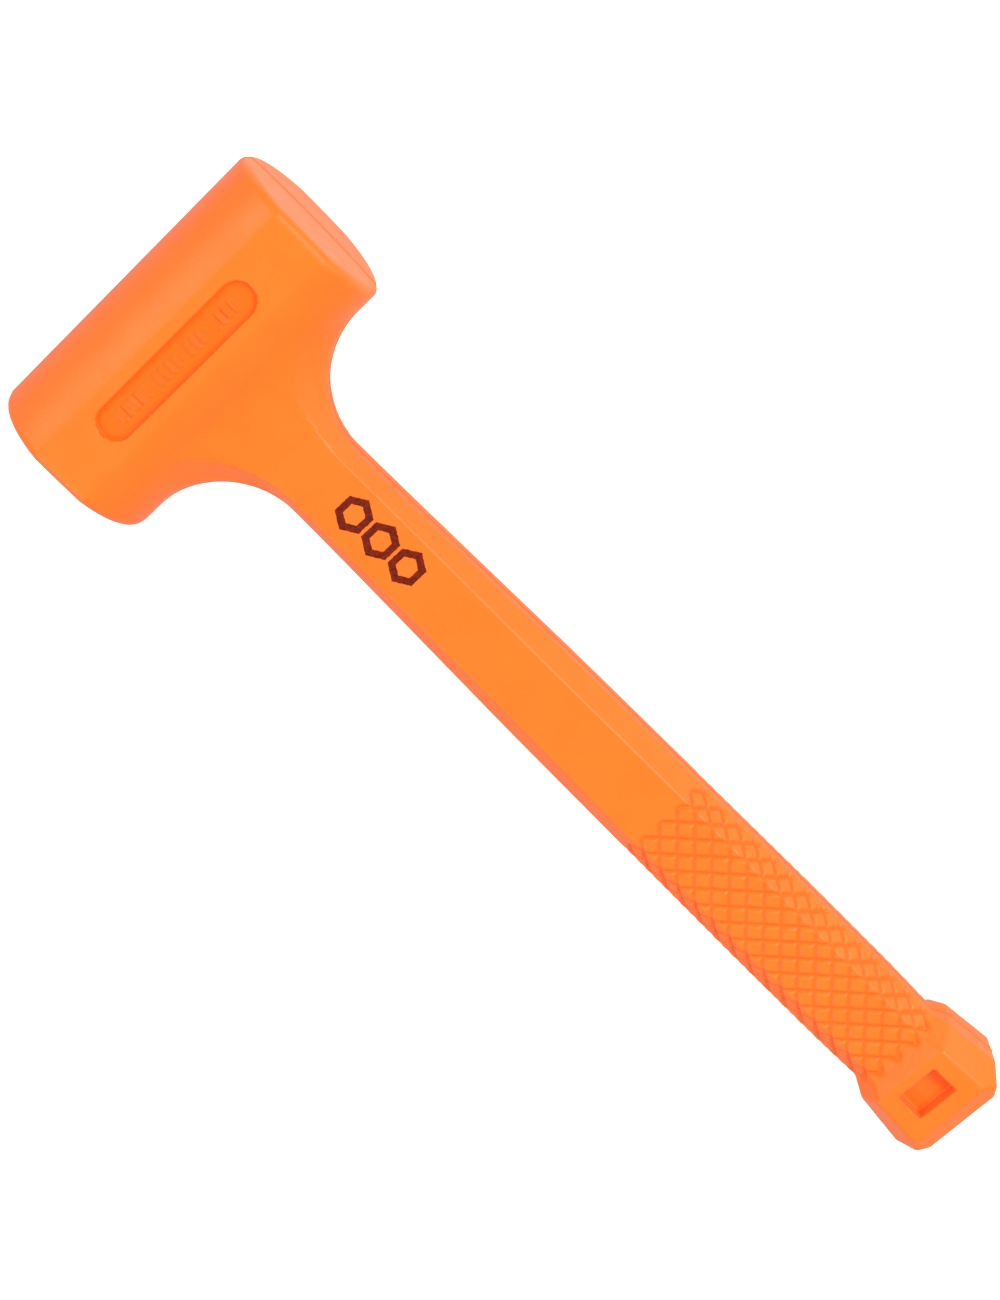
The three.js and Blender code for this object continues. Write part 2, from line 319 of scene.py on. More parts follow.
def butt_end(d, x, y, z, normal_y, normal_z):
    """The handle cut by the butt's side bevels, top bevels and end face."""
    run = BUTT_END - BEVEL_START
    side_x, side_y = np.array((BUTT_SIDE - END_SIDE, run)) / math.hypot(BUTT_SIDE - END_SIDE, run)
    top_x, top_z = np.array((BUTT_TOP - END_TOP, run)) / math.hypot(BUTT_TOP - END_TOP, run)
    bevel = (x - BEVEL_START) * side_x + (y - BUTT_SIDE) * side_y
    d, share, bevel_share = rounded_edge(d, bevel, normal_y * side_y, BUTT_ROUNDING)
    normal_x, normal_z = bevel_share * side_x, share * normal_z
    bevel = (x - BEVEL_START) * top_x + (z - BUTT_TOP) * top_z
    cosine = normal_x * top_x + normal_z * top_z
    d, share, bevel_share = rounded_edge(d, bevel, cosine, BUTT_ROUNDING)
    normal_x = share * normal_x + bevel_share * top_x
    return rounded_edge(d, x - BUTT_END, normal_x, BUTT_ROUNDING)[0]


def rib_field(x, y, z):
    """Distance to the row of ribs on the recess's floor."""
    first = -RIB_PITCH * (len(RIB_PATTERN) - 1) / 2
    index = np.clip(np.round((y - first) / RIB_PITCH), 0, len(RIB_PATTERN) - 1)
    present = np.array(RIB_PATTERN)[index.astype(int)]
    across = abs(y - first - index * RIB_PITCH) - RIB_HALF_LENGTH
    plan, _, _ = rounded_edge(abs(x) - RIB_HALF_WIDTH, across, 0.0, RIB_CORNER)
    height = z - (FLAT_HEIGHT - RECESS_DEPTH + RIB_HEIGHT)
    return np.where(present > 0, rounded_edge(plan, height, 0.0, RIB_TOP_ROUNDING)[0], FAR)


def sink_recess(d, x, y, z):
    """The head's flat with the recess and its ribs. y has its sign here, turned over for the lower flat."""
    straight = RECESS_HALF_LENGTH - RECESS_HALF_WIDTH
    outline = np.hypot(x, np.maximum(abs(y - RECESS_Y) - straight, 0)) - RECESS_HALF_WIDTH
    recess, _, _ = rounded_edge(outline, FLAT_HEIGHT - RECESS_DEPTH - z, 0.0, FLOOR_FILLET)
    d, _, _ = rounded_edge(d, -recess, 0.0, LIP_ROUNDING)
    return joined(d, rib_field(x, y - RECESS_Y, z), 0.0, RIB_FILLET)


def sink_pocket(d, x, y, z):
    """The butt with the pocket in its top and the pin hole in its end."""
    along, across = abs(x - POCKET_X) - POCKET_HALF_LENGTH, y - POCKET_HALF_WIDTH
    plan, _, _ = rounded_edge(along, across, 0.0, POCKET_CORNER)
    pocket, _, _ = rounded_edge(plan, POCKET_FLOOR - z, 0.0, FLOOR_FILLET)
    d, _, _ = rounded_edge(d, -pocket, 0.0, LIP_ROUNDING)
    bore = np.hypot(y, z) - PIN_HOLE_RADIUS
    hole, _, _ = rounded_edge(bore, PIN_HOLE_FLOOR - x, 0.0, PIN_HOLE_ROUNDING)
    return rounded_edge(d, -hole, 0.0, PIN_HOLE_ROUNDING)[0]


def skin_field(x, y, z):
    """Signed distance to the casting's outside."""
    turned_y, side_sign = y * np.sign(z), np.sign(y) * np.sign(z)
    y, z = abs(y), abs(z)
    handle, handle_nz = handle_field(x, y, z, side_sign)
    d = handle
    if np.any(x < HEAD_REACH):
        head, head_nz = head_field(x, y, z)
        handle = np.maximum(handle, -x)
        fillet = joined(head, handle, head_nz * handle_nz, NECK_RADIUS)
        d = np.where(x > 0, fillet, np.minimum(head, handle))
        d = sink_recess(d, x, turned_y, z)
    if np.any(x > BEVEL_START - BUTT_REACH):
        d = sink_pocket(d, x, y, z)
    witness = WITNESS_HEIGHT * np.exp(-(((x - WITNESS_X) / WITNESS_WIDTH) ** 2))
    return d - PARTING_HEIGHT * np.exp(-((z / PARTING_WIDTH) ** 2)) - witness


# ---------------------------------------------------------------- meshing

# The casting's grid, as spans of (start, end, count of steps): along X, and out along Y and Z before they are
# pulled onto the handle's creases.
SKIN_LINES_X = (
    (-26.2, -22, 7), (-22, -9.5, 12), (-9.5, -7.5, 4), (-7.5, 7.5, 28), (7.5, 9.5, 4), (9.5, 26, 17),
    (26, 56, 27), (56, 104, 30), (104, 106, 8), (106, 187, 42), (187, 294, 188), (294, 320.7, 45),
    (320.7, 322.2, 1),
)
SKIN_LINES_Y = (
    (0, 9.8, 20), (9.8, 15.2, 7), (15.2, 15.7, 1), (15.7, 31, 17), (31, 46, 12), (46, 48, 4), (48, 49.6, 1),
)
SKIN_LINES_Z = (
    (0, 0.42, 3), (0.42, 4, 6), (4, 10.9, 11), (10.9, 12, 1), (12, 17.5, 8), (17.5, 22.5, 6), (22.5, 23.5, 2),
    (23.5, 24.3, 1),
)
# What is pulled onto the handle's crease and side, and where the pull ends; then the same in Z, from the
# lines kept at the parting line, for its strip and top.
CREASE_LINE, SIDE_LINE, PULL_END_Y, LAST_Y = 9.8, 15.4, 31, 49.6
PARTING_LINE, STRIP_LINE, TOP_LINE, LAST_Z = 0.42, 4, 11.7, 24.3

# Rows farther out than this are not worked out: up to an X, and past it.
HEAD_ROWS, HEAD_ROWS_END, HANDLE_ROWS = 60, 58, 22

# Where cells merge in pairs: on the head within an X and Y and away from the block that holds the recess,
# given as half sizes in X and Y and a least Z, on the shaft up to an X, and on the striking faces.
PLAIN_HEAD_X, PLAIN_HEAD_Y = 50, 45
RECESS_BLOCK_X, RECESS_BLOCK_Y, RECESS_BLOCK_Z = 7.4, 31, 20
HEAD_MERGE_Y, HEAD_MERGE_Z = 31, (1, 21)
PLAIN_SHAFT_X = 186
SHAFT_MERGE_Y, SHAFT_MERGE_Z = 8.5, (5.5, 9.5)
FACE_MERGE_X, FACE_MERGE_Y = 6, 47

# The value given to a grid point whose sign is changed, the longest step of a point towards the surface, the
# least squared slope used for that step, and how much of the way a point goes to its neighbours' mean.
NUDGE = 1e-3
LONGEST_STEP, LEAST_SLOPE2 = 0.4, 0.2
EASE = 0.4


def lines(*spans):
    """Grid lines from spans of (start, end, count of steps)."""
    parts = [np.linspace(start, end, count, endpoint=False) for start, end, count in spans]
    return np.concatenate(parts + [[spans[-1][1]]])


def mirrored(half):
    return np.concatenate([-half[:0:-1], half])


def skin_grid():
    """Grid lines: x, and y and z at each x. Those in y and z follow the handle's creases, so that its long
    edges lie along lines, and none lies in a face."""
    x, wide, high = lines(*SKIN_LINES_X), lines(*SKIN_LINES_Y), lines(*SKIN_LINES_Z)
    side, strip, crease, top = handle_section(x)
    from_y = (0, CREASE_LINE, SIDE_LINE, PULL_END_Y, LAST_Y)
    from_z = (0, PARTING_LINE, STRIP_LINE, TOP_LINE, LAST_Z)
    ys = [np.interp(wide, from_y, (0, c, s, PULL_END_Y, LAST_Y)) for c, s in zip(crease, side)]
    zs = [np.interp(high, from_z, (0, PARTING_LINE, s, t, LAST_Z)) for s, t in zip(strip, top)]
    return x, np.array([mirrored(row) for row in ys]), np.array([mirrored(row) for row in zs])


def field_on_grid(field, x, ys, zs, slab=8):
    """The field at the grid's points, in slabs along X, and FAR in the rows that lie well outside it."""
    values = np.full((len(x), ys.shape[1], zs.shape[1]), FAR, np.float32)
    for start in range(0, len(x), slab):
        part = slice(start, start + slab)
        reach = HEAD_ROWS if x[start] < HEAD_ROWS_END else HANDLE_ROWS
        near = np.nonzero(np.abs(ys[part]).max(0) < reach)[0]
        rows = slice(near[0], near[-1] + 1)
        values[part, rows] = field(x[part, None, None], ys[part, rows, None], zs[part, None, :])
    return values


def untangled(values, rounds=8):
    """The field with the signs changed at the few grid points where two sheets would touch in one cell."""
    for _ in range(rounds):
        changed = 0
        for a, b in ((0, 1), (1, 2), (0, 2)):
            corners = [[slice(None)] * 3 for _ in range(4)]
            for corner, (high_a, high_b) in zip(corners, ((0, 0), (1, 0), (1, 1), (0, 1))):
                corner[a] = slice(1, None) if high_a else slice(0, -1)
                corner[b] = slice(1, None) if high_b else slice(0, -1)
            v = [values[tuple(corner)] for corner in corners]
            n = [part < 0 for part in v]
            where = np.nonzero((n[0] == n[2]) & (n[1] == n[3]) & (n[0] != n[1]))
            changed += len(where[0])
            weakest = np.argmin([abs(part[where]) for part in v], axis=0)
            for c, (high_a, high_b) in enumerate(((0, 0), (1, 0), (1, 1), (0, 1))):
                index = [w[weakest == c] for w in where]
                index[a] = index[a] + high_a
                index[b] = index[b] + high_b
                flipped = values[tuple(index)]
                values[tuple(index)] = -np.sign(flipped) * NUDGE
        if not changed:
            break
    return values


def edge_crossings(values, x, ys, zs, axis):
    """Where the surface crosses the grid's edges along one axis: the points, and the four cells round each
    edge, in order round the surface's outward normal."""
    inside = values < 0
    head = [slice(None)] * 3
    tail = [slice(None)] * 3
    head[axis], tail[axis] = slice(0, -1), slice(1, None)
    i, j, k = np.nonzero(inside[tuple(head)] != inside[tuple(tail)])
    step = np.eye(3, dtype=int)[axis]
    i2, j2, k2 = i + step[0], j + step[1], k + step[2]
    f0, f1 = values[i, j, k].astype(float), values[i2, j2, k2].astype(float)
    t = (f0 / (f0 - f1))[:, None]
    start = np.stack([x[i], ys[i, j], zs[i, k]], 1)
    end = np.stack([x[i2], ys[i2, j2], zs[i2, k2]], 1)
    b, c = (axis + 1) % 3, (axis + 2) % 3
    cells = []
    for db, dc in ((-1, -1), (0, -1), (0, 0), (-1, 0)):
        cell = np.stack([i, j, k], 1)
        cell[:, b] += db
        cell[:, c] += dc
        cells.append(cell)
    cells = np.stack(cells, 1)
    flip = f0 > 0
    cells[flip] = cells[flip][:, ::-1]
    return start + t * (end - start), cells


def between(value, limits):
    return (value > limits[0]) & (value < limits[1])


def coarsened(cells, x, ys, zs):
    """Cells with pairs merged where the surface is plain: the head away from its recess, the shaft, and the
    middle of the striking faces."""
    i, j, k = cells[..., 0], cells[..., 1], cells[..., 2]
    at_x, at_y, at_z = x[i], abs(ys[i, j]), abs(zs[i, k])
    over_recess = (abs(at_x) < RECESS_BLOCK_X) & (at_y < RECESS_BLOCK_Y) & (at_z > RECESS_BLOCK_Z)
    plain_head = (at_x < PLAIN_HEAD_X) & (at_y < PLAIN_HEAD_Y) & ~over_recess
    plain_shaft = (at_x >= PLAIN_HEAD_X) & (at_x < PLAIN_SHAFT_X)
    merge_y = (plain_head & (at_y < HEAD_MERGE_Y)) | (plain_shaft & (at_y < SHAFT_MERGE_Y))
    merge_z = (plain_head & between(at_z, HEAD_MERGE_Z)) | (plain_shaft & between(at_z, SHAFT_MERGE_Z))
    merge_x = (at_y > FACE_MERGE_Y) & (abs(at_x) < FACE_MERGE_X)
    j = np.where(merge_y, j - j % 2, j)
    k = np.where(merge_z, k - k % 2, k)
    i = np.where(merge_x, i - i % 2, i)
    return np.stack([i, j, k], -1)


def surface_net(x, ys, zs, values, merge):
    """A mesh of the field's zero level: points, and faces as rows of four. merge may give cells the index of
    a neighbour that they become one with."""
    points, quads = [], []
    for axis in range(3):
        where, cells = edge_crossings(values, x, ys, zs, axis)
        cells = merge(cells, x, ys, zs) if merge else cells
        quads.append((cells[..., 0] * ys.shape[1] + cells[..., 1]) * zs.shape[1] + cells[..., 2])
        points.append(where)
    points, quads = np.concatenate(points), np.concatenate(quads)
    ids, compact = np.unique(quads, return_inverse=True)
    compact = compact.reshape(quads.shape)
    count = np.bincount(compact.ravel(), minlength=len(ids))
    centres = np.stack(
        [np.bincount(compact.ravel(), np.repeat(points[:, a], 4), len(ids)) / count for a in range(3)], 1
    )
    return centres, compact


def clean_faces(quads):
    """Quads as lists, with merged corners taken out and faces that fold away dropped."""
    same_next = quads == np.roll(quads, -1, axis=1)
    whole = ~same_next.any(1) & (quads[:, 0] != quads[:, 2]) & (quads[:, 1] != quads[:, 3])
    faces = quads[whole].tolist()
    for quad, same in zip(quads[~whole].tolist(), same_next[~whole].tolist()):
        left = [v for v, drop in zip(quad, same) if not drop]
        if len(left) == 3 and len(set(left)) == 3:
            faces.append(left)
    return faces


def at_points(field, points, batch=3000):
    """The field at points, in batches, so that each batch needs only its own part of the shape."""
    return np.concatenate([field(*points[at:at + batch].T) for at in range(0, len(points), batch)])


def gradient(field, points, step=0.02):
    rows = []
    for offset in np.eye(3) * step:
        rows.append((at_points(field, points + offset) - at_points(field, points - offset)) / (2 * step))
    return np.stack(rows, 1)


def onto_surface(field, points, rounds):
    for _ in range(rounds):
        slope = gradient(field, points)
        size2 = np.maximum((slope * slope).sum(1, keepdims=True), LEAST_SLOPE2)
        shift = -at_points(field, points)[:, None] * slope / size2
        points = points + np.clip(shift, -LONGEST_STEP, LONGEST_STEP)
    return points


def relaxed(field, points, quads, rounds):
    """Points evened out along the surface."""
    a, b = quads.ravel(), np.roll(quads, -1, axis=1).ravel()
    count = np.maximum(np.bincount(a, minlength=len(points)), 1)
    for _ in range(rounds):
        mean = np.stack([np.bincount(a, points[b, i], len(points)) / count for i in range(3)], 1)
        slope = gradient(field, points)
        normal = slope / np.maximum(np.linalg.norm(slope, axis=1, keepdims=True), 1e-6)
        move = mean - points
        move -= normal * (move * normal).sum(1, keepdims=True)
        points = onto_surface(field, points + EASE * move, 1)
    return points


def meshed(field, grid, merge, rounds):
    """Points, faces and exact normals of a field's zero level."""
    values = untangled(field_on_grid(field, *grid))
    points, quads = surface_net(*grid, values, merge)
    points = onto_surface(field, points, 2)
    if rounds:
        points = onto_surface(field, relaxed(field, points, quads, rounds), 1)
    normals = gradient(field, points)
    normals /= np.linalg.norm(normals, axis=1, keepdims=True)
    return points, clean_faces(quads), normals


def place(points):
    """Millimetres from the head's centre to metres in the frame."""
    return np.asarray(points) * MM + np.array(HEAD_CENTRE)


def face_outwards(mesh):
    work = bmesh.new()
    work.from_mesh(mesh)
    bmesh.ops.recalc_face_normals(work, faces=work.faces)
    work.to_mesh(mesh)
    work.free()


def mesh_object(name, points, faces, normals=None, sharp_degrees=None):
    mesh = bpy.data.meshes.new(name)
    mesh.from_pydata(place(points).tolist(), [], faces)
    mesh.validate()
    if normals is None:
        face_outwards(mesh)
    mesh.shade_smooth()
    if normals is not None:
        mesh.normals_split_custom_set_from_vertices(normals.tolist())
    if sharp_degrees:
        mesh.set_sharp_from_angle(angle=math.radians(sharp_degrees))
    obj = bpy.data.objects.new(name, mesh)
    bpy.context.scene.collection.objects.link(obj)
    return obj


def stand_for(obj, node, body, material):
    """Put a finished piece in a CAD node's place."""
    obj.data.materials.append(material)
    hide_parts(node)
    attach(obj, body)


# ---------------------------------------------------------------- the pieces

# The space inside the casting: where the rod's branch of it starts, and its grid's spans.
BRANCH_START = 10
CAVITY_LINES_X = ((-22, 30, 24), (30, 303, 60), (303, 305, 1))
CAVITY_LINES_Y = ((0.9, 8.1, 4), (8.1, 40.5, 12))
CAVITY_LINES_Z = ((0.9, 8.1, 4), (8.1, 22.1, 7))

# How much painted shade the skin gets, of 1: in the knurl's grooves, on the recess's floor, how much more
# along its wall, and along the parting line. Then how sharply each starts.
GROOVE_SHADE, RECESS_SHADE, WALL_SHADE, PARTING_SHADE = 0.6, 0.6, 0.35, 0.8
GROOVE_POWER, RECESS_BLUR, RECESS_BELOW = 1.5, 0.15, 0.5
WALL_INSET, WALL_WIDTH = 0.5, 0.8

# How finely the turned steel is divided, the angle above which its edges are sharp, and its roundings.
CANISTER_SIDES, ROD_SIDES = 96, 64
SHARP_DEGREES, WELD_SHARP_DEGREES = 35, 50
TUBE_ROUNDING, CAP_ROUNDING = 0.35, 0.3
DIMPLE_RADIUS, DIMPLE_FLOOR_RADIUS, DIMPLE_STEP, DIMPLE_DEPTH = 9.0, 7.4, 0.7, 0.9

# The bar: a ring round the axis at its foot, rings along it, and its foot and tip as (how far in from its
# radius, how far from that end). Stations below COPED_TO follow the tube.
ROD_FOOT_RING = 3
ROD_RINGS = (40, 90, 150, 220, 280)
ROD_FOOT = ((0.3, 0), (0, 0.35))
ROD_TIP = ((0, 1.2), (0.2, 0.8), (0.9, 0.1), (1.2, 0))
COPED_TO = 5

# The weld bead: its foot's radius and how much wider it is beside the tube, insets at its toe and foot, its
# height and fullness, and its ripples' height, bend and wander.
BEAD_FOOT, BEAD_SPREAD = 9.8, 0.6
BEAD_TOE_INSET, BEAD_FOOT_INSET = 0.2, 0.1
BEAD_HEIGHT, BEAD_FULLNESS = 0.2, 0.7
RIPPLE_HEIGHT, RIPPLE_BEND, RIPPLE_WANDER = 0.11, 5, 0.4

# How far a ball's mean surface lies inside its CAD ball, and the height of its lumps.
BALL_INSET, BALL_LUMP = 0.06, 0.04


def cavity_field(x, y, z):
    """Signed distance to the space inside the casting."""
    y = abs(y)
    canister = np.maximum(np.hypot(x, z) - TUBE_RADIUS - GAP, y - CANISTER_HALF_LENGTH - GAP)
    rho = np.hypot(y, z)
    rod = np.maximum(rho - ROD_RADIUS - GAP, x - ROD_END - GAP)
    slope = (x + rho - WELD_TOE - ROD_RADIUS - 2 * GAP) / math.sqrt(2)
    weld = np.maximum(np.maximum(rho - WELD_RADIUS - GAP, slope), x - WELD_TOE - GAP)
    branch = np.maximum(np.minimum(rod, weld), BRANCH_START - x)
    return np.minimum(canister, branch)


def cavity_grid():
    x = lines(*CAVITY_LINES_X)
    y = mirrored(lines(*CAVITY_LINES_Y))
    z = mirrored(lines(*CAVITY_LINES_Z))
    return x, np.tile(y, (len(x), 1)), np.tile(z, (len(x), 1))


def painted_shade_share(x, y, z):
    """How much painted shade the skin gets, from 0 to 1: in the recesses, in the knurl's grooves and along
    the parting line."""
    side_sign = np.sign(y) * np.sign(z)
    along, y, z_up = abs(y * np.sign(z) - RECESS_Y), abs(y), abs(z)
    sinking = np.clip((knurl_depth(x, y, z_up, side_sign) - PILLOW) / GROOVE_DEPTH, 0, 1)
    groove = GROOVE_SHADE * sinking ** GROOVE_POWER
    off = np.hypot(x, np.maximum(along - RECESS_HALF_LENGTH + RECESS_HALF_WIDTH, 0))
    recess = smooth_step(-RECESS_HALF_WIDTH - RECESS_BLUR, RECESS_BLUR - RECESS_HALF_WIDTH, -off)
    wall = np.exp(-(((off - RECESS_HALF_WIDTH + WALL_INSET) / WALL_WIDTH) ** 2))
    recess = recess * (RECESS_SHADE + WALL_SHADE * wall) * (z_up > FLAT_HEIGHT - RECESS_DEPTH - RECESS_BELOW)
    parting = PARTING_SHADE * np.exp(-((z / PARTING_WIDTH) ** 2) / 2)
    return np.clip(np.maximum(np.maximum(groove, recess), parting), 0, 1)


def casting(material):
    """The urethane casting, with the space for the canister and the rod inside it. Its outside is open along
    a sliver 0.04 mm wide on the parting line, in the middle of each striking face."""
    points, faces, normals = meshed(skin_field, skin_grid(), coarsened, 2)
    inner, inner_faces, inner_normals = meshed(cavity_field, cavity_grid(), None, 0)
    first = len(points)
    # Painted shade for the knurl's grooves, the recess and the parting line, kept on the skin's points as an
    # attribute.
    painted_shade = np.concatenate([painted_shade_share(*points.T), np.zeros(len(inner))])
    faces = faces + [[first + v for v in reversed(face)] for face in inner_faces]
    points, normals = np.concatenate([points, inner]), np.concatenate([normals, -inner_normals])
    skin = mesh_object("casting", points, faces, normals)
    skin.data.attributes.new("painted_shade", "FLOAT", "POINT").data.foreach_set("value", painted_shade)
    stand_for(skin, "overmould", "mallet", material)


def cope(up):
    """How far out along X the canister's surface with its clearance lies, at a height."""
    return math.sqrt((TUBE_RADIUS + GAP) ** 2 - up * up)


def turned(outline, axis, sides, coped_to=-math.inf):
    """A solid of revolution about X or Y through the head's centre. Its outline, of (radius, station) pairs,
    starts and ends on the axis or closes on itself. Stations below coped_to count from the canister."""
    closed = outline[0][0] > 0
    points, rings = [], []
    for radius, station in outline:
        angles = [0.0] if radius == 0 else [2 * math.pi * i / sides for i in range(sides)]
        rings.append(range(len(points), len(points) + len(angles)))
        for angle in angles:
            across, up = radius * math.cos(angle), radius * math.sin(angle)
            along = station + cope(up) if station < coped_to else station
            points.append((along, across, up) if axis == "X" else (across, along, up))
    faces = []
    pairs = list(zip(rings, rings[1:])) + ([(rings[-1], rings[0])] if closed else [])
    for low, high in pairs:
        for i in range(sides):
            j = (i + 1) % sides
            face = [low[i % len(low)], low[j % len(low)], high[j % len(high)], high[i % len(high)]]
            faces.append([v for n, v in enumerate(face) if v not in face[:n]])
    return points, faces


def rounded_outline(corners, radius, steps=3):
    """The outline with its corners rounded, apart from those on the axis."""
    result = []
    for n, (corner, size) in enumerate(corners):
        before, after = corners[n - 1][0], corners[(n + 1) % len(corners)][0]
        if not size:
            result.append(corner)
            continue
        here = Vector(corner)
        to_before = (Vector(before) - here).normalized() * size * radius
        to_after = (Vector(after) - here).normalized() * size * radius
        for step in range(steps + 1):
            t = step / steps
            bent = here + to_before * (1 - t) ** 2 + to_after * t ** 2
            result.append(tuple(bent))
    return result


def canister_tube(material):
    inner = TUBE_RADIUS - TUBE_WALL
    corners = [((inner, -TUBE_HALF_LENGTH), 1), ((TUBE_RADIUS, -TUBE_HALF_LENGTH), 1),
               ((TUBE_RADIUS, TUBE_HALF_LENGTH), 1), ((inner, TUBE_HALF_LENGTH), 1)]
    points, faces = turned(rounded_outline(corners, TUBE_ROUNDING), "Y", CANISTER_SIDES)
    tube = mesh_object("canister_tube_steel", points, faces, sharp_degrees=SHARP_DEGREES)
    stand_for(tube, "canister_tube", "mallet", material)


def canister_cap(name, node, side, material):
    """A stepped cap with a pressed dimple in its outer face."""
    spigot, flange = TUBE_RADIUS - TUBE_WALL - GAP, TUBE_HALF_LENGTH + GAP
    corners = [((0, CAP_LOW.y / MM), 0), ((spigot, CAP_LOW.y / MM), 1), ((spigot, flange), 0.5),
               ((TUBE_RADIUS, flange), 1), ((TUBE_RADIUS, CANISTER_HALF_LENGTH), 2),
               ((DIMPLE_RADIUS, CANISTER_HALF_LENGTH), 2),
               ((DIMPLE_FLOOR_RADIUS, CANISTER_HALF_LENGTH - DIMPLE_STEP), 2),
               ((0, CANISTER_HALF_LENGTH - DIMPLE_DEPTH), 0)]
    points, faces = turned(rounded_outline(corners, CAP_ROUNDING), "Y", CANISTER_SIDES)
    cap = mesh_object(name, np.array(points) * (1, side, 1), faces, sharp_degrees=SHARP_DEGREES)
    stand_for(cap, node, "mallet", material)


def handle_rod(material):
    """The bar, coped to the tube, with a chamfered end."""
    foot = [(ROD_RADIUS - inset, along) for inset, along in ROD_FOOT]
    rings = [(ROD_RADIUS, along) for along in ROD_RINGS]
    tip = [(ROD_RADIUS - inset, ROD_END - back) for inset, back in ROD_TIP]
    outline = [(0, 0), (ROD_FOOT_RING, 0), *foot, *rings, *tip, (0, ROD_END)]
    points, faces = turned(outline, "X", ROD_SIDES, COPED_TO)
    rod = mesh_object("handle_rod_bar", points, faces, sharp_degrees=SHARP_DEGREES)
    stand_for(rod, "handle_rod", "mallet", material)


def rod_weld(material, ripples=28, around=224, across=12):
    """A fillet weld bead round the rod's foot, with the ripples of its run."""
    bore = ROD_RADIUS + GAP
    points = []
    for i in range(around):
        angle = 2 * math.pi * i / around
        foot = BEAD_FOOT + BEAD_SPREAD * math.sin(angle) ** 2
        start = Vector((bore, WELD_TOE - BEAD_TOE_INSET))
        end = Vector((foot, cope(foot * math.sin(angle)) + BEAD_FOOT_INSET))
        out = Vector((start.y - end.y, end.x - start.x)).normalized()
        ring = [(bore, cope(bore * math.sin(angle)))]
        for j in range(across + 1):
            t = j / across
            crown = math.sin(math.pi * t) ** BEAD_FULLNESS if 0 < t < 1 else 0.0
            wander = RIPPLE_WANDER * math.sin(3 * angle)
            ripple = math.sin(ripples * angle + RIPPLE_BEND * (t - 0.5) ** 2 + wander)
            ring.append(start.lerp(end, t) + out * crown * (BEAD_HEIGHT + RIPPLE_HEIGHT * ripple))
        inner = foot - BEAD_FOOT_INSET
        ring.append((inner, cope(inner * math.sin(angle))))
        points += [(along, r * math.cos(angle), r * math.sin(angle)) for r, along in ring]
    count = across + 3
    faces = []
    for i in range(around):
        for j in range(count):
            a, b = i * count, (i + 1) % around * count
            faces.append([a + j, a + (j + 1) % count, b + (j + 1) % count, b + j])
    weld = mesh_object("rod_weld_bead", points, faces, sharp_degrees=WELD_SHARP_DEGREES)
    stand_for(weld, "handle_rod_weld", "mallet", material)


def ball_mesh(radius):
    """A cast ball: round, with the faint flats and hollows that tumbling leaves."""
    mesh = bpy.data.meshes.new("shot_ball")
    work = bmesh.new()
    bmesh.ops.create_icosphere(work, subdivisions=4, radius=1)
    for vertex in work.verts:
        x, y, z = vertex.co
        broad = math.sin(3.1 * x + 1) * math.sin(2.7 * y + 2) * math.sin(3.3 * z)
        lump = broad + 0.5 * math.sin(5 * x * y + 4 * z)
        vertex.co = vertex.co * (radius - BALL_INSET + BALL_LUMP * lump) * MM
    work.to_mesh(mesh)
    work.free()
    mesh.shade_smooth()
    return mesh


def shot_charge(material):
    """The loose balls, each on its own lane's body."""
    bodies = frame["record"]["behaviour"]["bodies"]
    lanes = {node: body for body, nodes in bodies.items() for node in nodes if node.startswith("shot_")}
    low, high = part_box(sorted(lanes)[0])
    mesh = ball_mesh(max(high - low) / 2 / MM)
    mesh.materials.append(material)
    for n, node in enumerate(sorted(lanes)):
        low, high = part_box(node)
        ball = bpy.data.objects.new(node + "_ball", mesh)
        bpy.context.scene.collection.objects.link(ball)
        ball.location = (low + high) / 2
        ball.rotation_euler = (1.7 * n, 2.3 * n, 0.9 * n)
        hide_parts(node)
        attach(ball, lanes[node])


# ---------------------------------------------------------------- finishes

